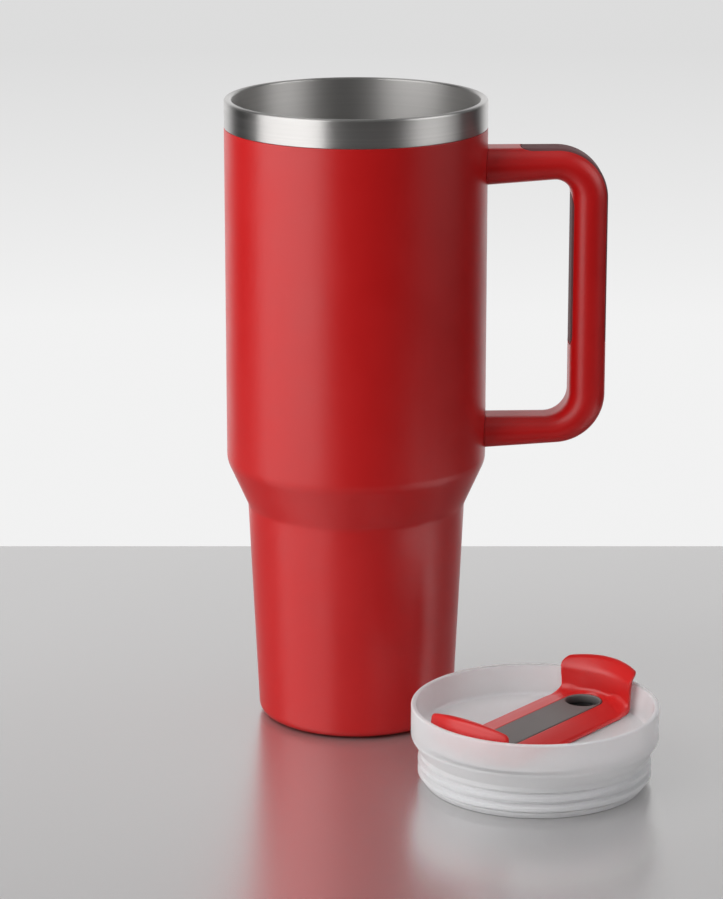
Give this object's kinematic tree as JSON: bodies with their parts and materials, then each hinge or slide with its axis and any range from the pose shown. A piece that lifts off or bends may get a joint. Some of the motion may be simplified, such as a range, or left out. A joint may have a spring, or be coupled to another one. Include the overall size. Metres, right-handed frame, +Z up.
{
  "type": "insulated travel mug",
  "caption": "Tall double-walled steel travel mug with a stepped, tapered lower body, a C-shaped side handle and a separate frosted drop-in lid with a turning straw cover.",
  "frame": {"origin": "centre of the base pad's underside, where the mug's axis meets the surface it stands on", "axes": "+Z up along the mug's axis, +X towards the handle"},
  "size_m": [0.1598, 0.1778, 0.2434],
  "materials": {
    "red_coat": "fine satin powder coat",
    "red_plastic": "satin moulded plastic",
    "steel": "brushed round the axis",
    "screw_steel": "plain bright steel",
    "copper": "bright copper foil",
    "getter_alloy": "pressed powder pill",
    "solder": "smooth solder bead",
    "pad_rubber": "matt rubber",
    "grip_rubber": "soft-touch rubber",
    "frosted_plastic": "frosted translucent plastic",
    "silicone": "translucent silicone",
    "grey_rubber": "matt soft grey",
    "nylon": "plain nylon"
  },
  "bodies": {
    "mug": {"outer_shell": "red_coat", "mouth_ring": "steel", "inner_liner": "steel", "copper_wrap": "copper", "bottom_plate": "steel", "getter": "getter_alloy", "seal_bead": "solder", "base_cover": "steel", "base_pad": "pad_rubber", "handle_shell": "red_plastic", "outer_grip": "grip_rubber", "inner_grip": "grip_rubber", "upper_bracket": "steel", "lower_bracket": "steel", "upper_screw": "screw_steel", "lower_screw": "screw_steel"},
    "lid": {"lid_body": "frosted_plastic", "lid_gasket": "silicone", "spout_gasket": "grey_rubber", "pivot_washer": "nylon"},
    "cover": {"rotary_cover": "red_plastic", "cover_inlay": "grey_rubber", "pivot_pin": "screw_steel", "retaining_clip": "screw_steel"}
  },
  "joints": [
    {"name": "lid_lift", "type": "slide", "parent": "mug", "child": "lid", "axis": [0, 0, 1], "range_m": [0, 0.27]},
    {"name": "cover_turn", "type": "hinge", "parent": "lid", "child": "cover", "pos_m": [0.06374, -0.08173, 0.0185], "axis": [0, 0, 1], "range_deg": [0, 180]}
  ]
}
